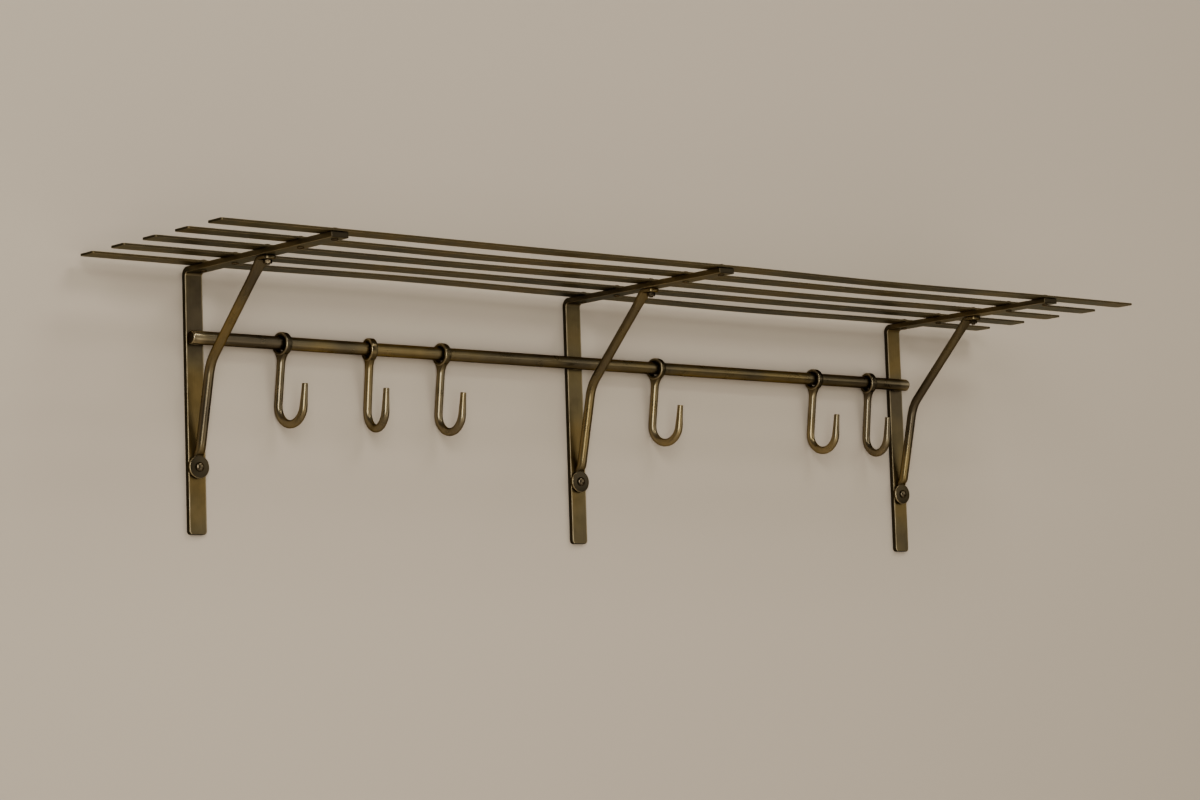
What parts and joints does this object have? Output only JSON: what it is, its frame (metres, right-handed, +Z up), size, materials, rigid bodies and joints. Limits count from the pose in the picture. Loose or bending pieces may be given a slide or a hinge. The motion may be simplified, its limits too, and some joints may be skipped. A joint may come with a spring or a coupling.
{
  "type": "wall-mounted hat and coat rack",
  "caption": "Wall-mounted hat and coat rack in aged brass: a slatted hat shelf on bent flat-bar brackets with forged braces, and J-hooks that slide and swing on a round rail.",
  "frame": {"origin": "on the wall plane, in the middle of the centre bracket's leg, 120 mm below the top of the bracket arms", "axes": "+X along the rail to the right as seen from the front, +Y into the wall, +Z up"},
  "size_m": [1.098, 0.2283, 0.2396],
  "materials": {
    "bar_brass": "aged, brushed satin, darker brown in the recesses",
    "rod_brass": "aged, drawn along its length, satin",
    "fastener_brass": "aged, darkened, hammered or turned"
  },
  "bodies": {
    "root": {"bracket_left": "bar_brass", "brace_left": "rod_brass", "brace_rivet_left": "fastener_brass", "slat_1_rivet_left": "fastener_brass", "slat_2_rivet_left": "fastener_brass", "slat_4_rivet_left": "fastener_brass", "slat_5_rivet_left": "fastener_brass", "brace_bolt_left": "fastener_brass", "brace_nut_left": "fastener_brass", "bracket_center": "bar_brass", "brace_center": "rod_brass", "brace_rivet_center": "fastener_brass", "slat_1_rivet_center": "fastener_brass", "slat_2_rivet_center": "fastener_brass", "slat_4_rivet_center": "fastener_brass", "slat_5_rivet_center": "fastener_brass", "brace_bolt_center": "fastener_brass", "brace_nut_center": "fastener_brass", "bracket_right": "bar_brass", "brace_right": "rod_brass", "brace_rivet_right": "fastener_brass", "slat_1_rivet_right": "fastener_brass", "slat_2_rivet_right": "fastener_brass", "slat_4_rivet_right": "fastener_brass", "slat_5_rivet_right": "fastener_brass", "brace_bolt_right": "fastener_brass", "brace_nut_right": "fastener_brass", "slat_1": "bar_brass", "slat_2": "bar_brass", "slat_3": "bar_brass", "slat_4": "bar_brass", "slat_5": "bar_brass", "hanging_rail": "rod_brass"},
    "hook_1_slider": {"hook_1_eye": "rod_brass"},
    "hook_1": {"hook_1_shank": "rod_brass"},
    "hook_2_slider": {"hook_2_eye": "rod_brass"},
    "hook_2": {"hook_2_shank": "rod_brass"},
    "hook_3_slider": {"hook_3_eye": "rod_brass"},
    "hook_3": {"hook_3_shank": "rod_brass"},
    "hook_4_slider": {"hook_4_eye": "rod_brass"},
    "hook_4": {"hook_4_shank": "rod_brass"},
    "hook_5_slider": {"hook_5_eye": "rod_brass"},
    "hook_5": {"hook_5_shank": "rod_brass"},
    "hook_6_slider": {"hook_6_eye": "rod_brass"},
    "hook_6": {"hook_6_shank": "rod_brass"}
  },
  "joints": [
    {"name": "hook_1_slide", "type": "slide", "parent": "root", "child": "hook_1_slider", "axis": [1, 0, 0], "range_m": [-0.0735, 0.035]},
    {"name": "hook_1_swing", "type": "hinge", "parent": "hook_1_slider", "child": "hook_1", "pos_m": [-0.342, -0.0113, 0.0564], "axis": [-0.9936, -0.1132, 0], "range_deg": [0, 130]},
    {"name": "hook_2_slide", "type": "slide", "parent": "root", "child": "hook_2_slider", "axis": [1, 0, 0], "range_m": [-0.034, 0.036]},
    {"name": "hook_2_swing", "type": "hinge", "parent": "hook_2_slider", "child": "hook_2", "pos_m": [-0.246, -0.0113, 0.0564], "axis": [-0.9914, 0.1305, 0], "range_deg": [0, 130]},
    {"name": "hook_3_slide", "type": "slide", "parent": "root", "child": "hook_3_slider", "axis": [1, 0, 0], "range_m": [-0.036, 0.147]},
    {"name": "hook_3_swing", "type": "hinge", "parent": "hook_3_slider", "child": "hook_3", "pos_m": [-0.164, -0.0113, 0.0564], "axis": [-0.999, -0.0436, 0], "range_deg": [0, 130]},
    {"name": "hook_4_slide", "type": "slide", "parent": "root", "child": "hook_4_slider", "axis": [1, 0, 0], "range_m": [-0.082, 0.098]},
    {"name": "hook_4_swing", "type": "hinge", "parent": "hook_4_slider", "child": "hook_4", "pos_m": [0.097, -0.0113, 0.0564], "axis": [-0.989, -0.1478, 0], "range_deg": [0, 130]},
    {"name": "hook_5_slide", "type": "slide", "parent": "root", "child": "hook_5_slider", "axis": [1, 0, 0], "range_m": [-0.092, 0.0265]},
    {"name": "hook_5_swing", "type": "hinge", "parent": "hook_5_slider", "child": "hook_5", "pos_m": [0.3075, -0.0113, 0.0564], "axis": [-0.9969, -0.0785, 0], "range_deg": [0, 130]},
    {"name": "hook_6_slide", "type": "slide", "parent": "root", "child": "hook_6_slider", "axis": [1, 0, 0], "range_m": [-0.0285, 0.031]},
    {"name": "hook_6_swing", "type": "hinge", "parent": "hook_6_slider", "child": "hook_6", "pos_m": [0.3845, -0.0113, 0.0564], "axis": [-0.9945, 0.1045, 0], "range_deg": [0, 130]}
  ]
}
